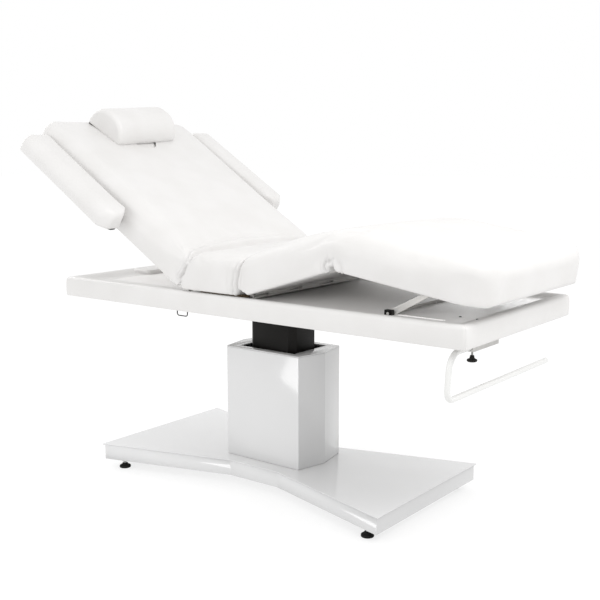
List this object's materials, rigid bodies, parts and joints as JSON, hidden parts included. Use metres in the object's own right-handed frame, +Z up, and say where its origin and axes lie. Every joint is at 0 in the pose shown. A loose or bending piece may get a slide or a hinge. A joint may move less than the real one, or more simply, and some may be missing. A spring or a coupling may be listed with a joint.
{
  "type": "electric facial treatment bed",
  "caption": "Electric facial treatment bed with lifting column, upholstered frame, tilting backrest, folding leg rest, sliding armrests, head pillow and paper roll bar.",
  "frame": {"origin": "on the floor at the middle of the bed's length and width as it stands", "axes": "+X towards the foot end, +Y towards the far long side, +Z up"},
  "size_m": [1.8685, 0.95, 1.3373],
  "materials": {
    "gloss_white": "gloss",
    "black_paint": "satin",
    "grey_steel": "satin",
    "white_tube": "gloss",
    "white_vinyl": "satin",
    "white_panel": "satin",
    "padding": "matte",
    "plywood": "matte",
    "black_plastic": "matte",
    "black_rubber": "matte"
  },
  "bodies": {
    "base": {"base_top_plate": "gloss_white", "base_body": "gloss_white", "column_cover": "gloss_white", "column_cover_cap": "gloss_white", "column_outer_tube": "black_paint", "lift_motor": "black_plastic"},
    "foot_1": {"levelling_foot_1": "black_rubber"},
    "foot_2": {"levelling_foot_2": "black_rubber"},
    "foot_3": {"levelling_foot_3": "black_rubber"},
    "foot_4": {"levelling_foot_4": "black_rubber"},
    "bed_frame": {"column_inner_tube": "black_paint", "column_head_plate": "grey_steel", "lift_spindle_tube": "grey_steel", "frame_ladder": "grey_steel", "frame_apron_near": "white_vinyl", "frame_apron_far": "white_vinyl", "frame_apron_head": "white_vinyl", "frame_apron_foot": "white_vinyl", "frame_top_panel": "white_panel", "seat_bearer": "plywood", "backrest_rest_pad": "white_vinyl", "control_box": "black_plastic", "hand_control_hook": "grey_steel", "roll_bar_channel": "grey_steel", "seat_board": "plywood", "seat_cushion": "padding", "backrest_hinge_fixed": "grey_steel", "thigh_hinge_fixed": "grey_steel", "strut_pivot_block_near": "grey_steel", "strut_pivot_block_far": "grey_steel", "backrest_actuator": "black_plastic", "leg_actuator": "black_plastic"},
    "backrest": {"backrest_board": "plywood", "backrest_cushion": "padding", "backrest_hinge_moving": "grey_steel", "armrest_sleeves_near": "grey_steel", "armrest_sleeves_far": "grey_steel"},
    "armrest_near": {"armrest_near_frame": "grey_steel", "armrest_near_pad": "padding"},
    "armrest_far": {"armrest_far_frame": "grey_steel", "armrest_far_pad": "padding"},
    "head_pillow": {"head_pillow": "padding"},
    "face_plug": {"face_hole_plug": "padding"},
    "thigh": {"thigh_board": "plywood", "thigh_cushion": "padding", "thigh_hinge_moving": "grey_steel", "knee_hinge_fixed": "grey_steel"},
    "calf": {"calf_board": "plywood", "calf_cushion": "padding", "knee_hinge_moving": "grey_steel", "calf_bracket_near": "grey_steel", "calf_bracket_far": "grey_steel"},
    "leg_strut": {"leg_strut_near": "grey_steel", "leg_strut_far": "grey_steel", "strut_cross_pin": "grey_steel", "leg_lift_shaft": "grey_steel"},
    "backrest_rod": {"backrest_actuator_rod": "grey_steel"},
    "leg_rod": {"leg_actuator_rod": "grey_steel"},
    "roll_bar": {"roll_bar": "white_tube"},
    "clamp_knob": {"roll_clamp_knob": "black_plastic"}
  },
  "joints": [
    {"name": "foot_1_level", "type": "hinge", "parent": "base", "child": "foot_1", "pos_m": [-0.5672, -0.27, 0], "axis": [0, 0, 1], "continuous": true},
    {"name": "foot_2_level", "type": "hinge", "parent": "base", "child": "foot_2", "pos_m": [-0.5672, 0.27, 0], "axis": [0, 0, 1], "continuous": true},
    {"name": "foot_3_level", "type": "hinge", "parent": "base", "child": "foot_3", "pos_m": [0.5188, -0.27, 0], "axis": [0, 0, 1], "continuous": true},
    {"name": "foot_4_level", "type": "hinge", "parent": "base", "child": "foot_4", "pos_m": [0.5188, 0.27, 0], "axis": [0, 0, 1], "continuous": true},
    {"name": "column_lift", "type": "slide", "parent": "base", "child": "bed_frame", "axis": [0, 0, 1], "range_m": [-0.145, 0.14]},
    {"name": "backrest_tilt", "type": "hinge", "parent": "bed_frame", "child": "backrest", "pos_m": [-0.1922, 0, 0.7095], "axis": [0, 1, 0], "range_deg": [-32.4, 32.6]},
    {"name": "thigh_tilt", "type": "hinge", "parent": "bed_frame", "child": "thigh", "pos_m": [0.0938, 0, 0.7095], "axis": [0, -1, 0], "range_deg": [-17.5, 12.5]},
    {"name": "knee_fold", "type": "hinge", "parent": "thigh", "child": "calf", "pos_m": [0.43714, 0, 0.81775], "axis": [0, 1, 0], "range_deg": [-25.75, 18.4]},
    {"name": "strut_lift", "type": "hinge", "parent": "bed_frame", "child": "leg_strut", "pos_m": [0.5838, 0, 0.705], "axis": [0, -1, 0], "range_deg": [-26.7, 19.1]},
    {"name": "leg_rod_slide", "type": "slide", "parent": "bed_frame", "child": "leg_rod", "axis": [1, 0, 0], "range_m": [-0.0146, 0.0105]},
    {"name": "backrest_rod_slide", "type": "slide", "parent": "bed_frame", "child": "backrest_rod", "axis": [1, 0, 0], "range_m": [-0.0271, 0.027]},
    {"name": "armrest_near_slide", "type": "slide", "parent": "backrest", "child": "armrest_near", "axis": [0, -1, 0], "range_m": [0, 0.1]},
    {"name": "armrest_far_slide", "type": "slide", "parent": "backrest", "child": "armrest_far", "axis": [0, 1, 0], "range_m": [0, 0.1]},
    {"name": "head_pillow_slide", "type": "slide", "parent": "backrest", "child": "head_pillow", "axis": [-0.8443, 0, 0.5358], "range_m": [-0.25, 0.02]},
    {"name": "face_plug_slide", "type": "slide", "parent": "backrest", "child": "face_plug", "axis": [-0.5358, 0, -0.8443], "range_m": [0, 0.14]},
    {"name": "roll_bar_slide", "type": "slide", "parent": "bed_frame", "child": "roll_bar", "axis": [0, -1, 0], "range_m": [-0.04, 0.1]},
    {"name": "clamp_knob_turn", "type": "hinge", "parent": "bed_frame", "child": "clamp_knob", "pos_m": [0.8338, -0.222, 0.63], "axis": [0, 0, 1], "continuous": true}
  ],
  "couplings": [
    {"joint": "knee_fold", "follows": "thigh_tilt", "ratio": 1.467},
    {"joint": "strut_lift", "follows": "thigh_tilt", "ratio": 1.52},
    {"joint": "leg_rod_slide", "follows": "thigh_tilt", "m_per_rad": 0.04737},
    {"joint": "backrest_rod_slide", "follows": "backrest_tilt", "m_per_rad": -0.0474}
  ]
}
